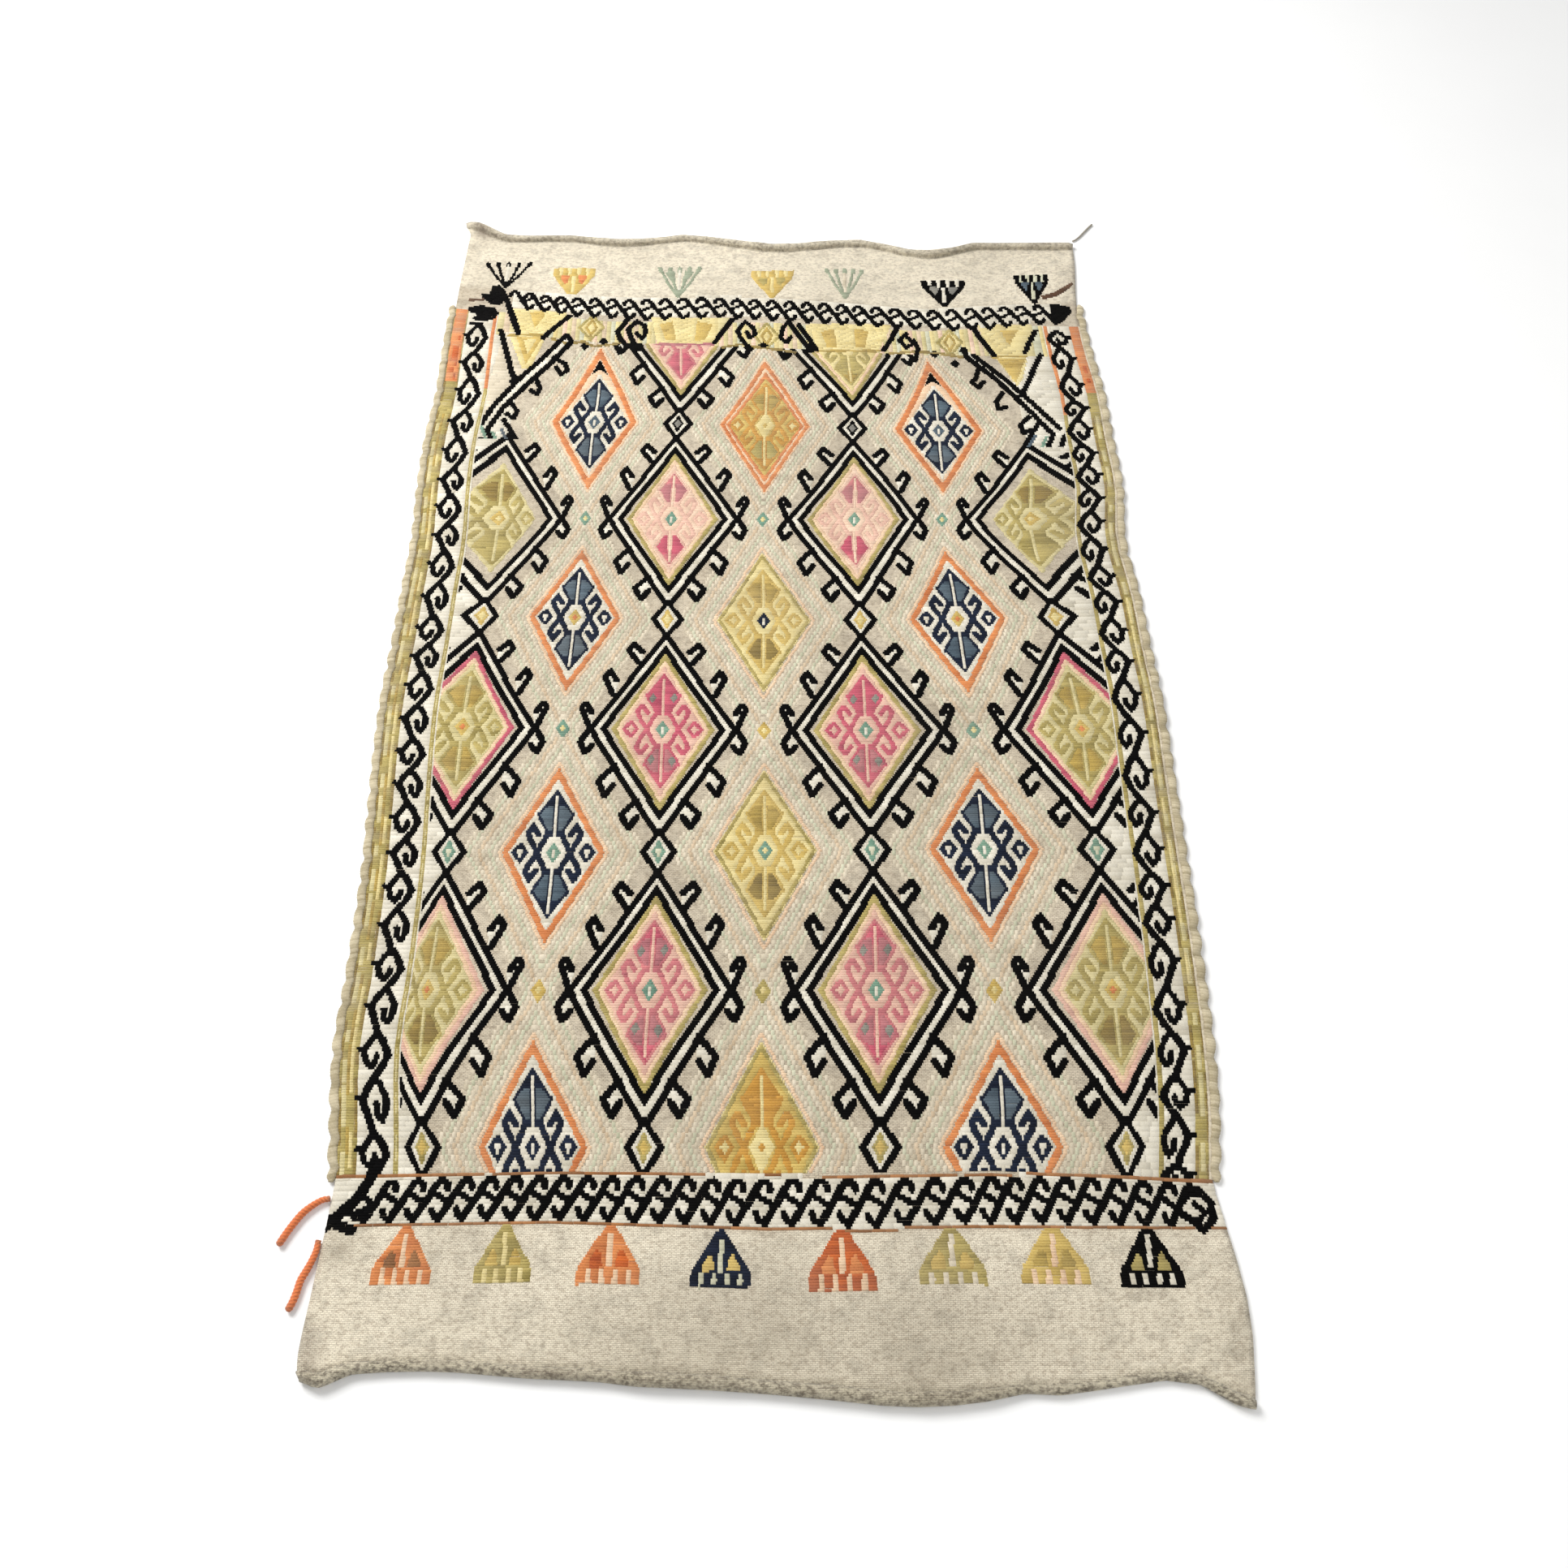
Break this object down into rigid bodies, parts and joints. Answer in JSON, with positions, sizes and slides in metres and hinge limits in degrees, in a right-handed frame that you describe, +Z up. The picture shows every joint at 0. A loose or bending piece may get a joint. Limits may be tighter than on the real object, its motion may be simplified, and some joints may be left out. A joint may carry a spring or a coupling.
{
  "type": "kilim rug",
  "caption": "Flat-woven wool kilim rug lying flat, with hooked diamonds, narrow hook borders, plain end flaps with rolled edges, overcast sides and loose yarn ends.",
  "frame": {"origin": "on the ground in the middle of the rug's footprint, its loose yarn ends left aside", "axes": "+Z up from the ground, +Y along the rug's length to its far end, +X across its width"},
  "size_m": [0.9374, 1.6415, 0.0161],
  "materials": {
    "woven_wool": "undyed cream wool, flat-woven and brocaded, matt",
    "overcast_wool": "plump cream wool yarn, overcast, matt",
    "orange_wool": "rust orange wool yarn, matt",
    "grey_wool": "thin grey wool yarn, matt"
  },
  "bodies": {
    "root": {"kilim_sheet": "woven_wool", "left_overcast_edge": "overcast_wool", "right_overcast_edge": "overcast_wool", "upper_yarn_end": "orange_wool", "lower_yarn_end": "orange_wool", "corner_yarn_end": "grey_wool"}
  },
  "joints": []
}
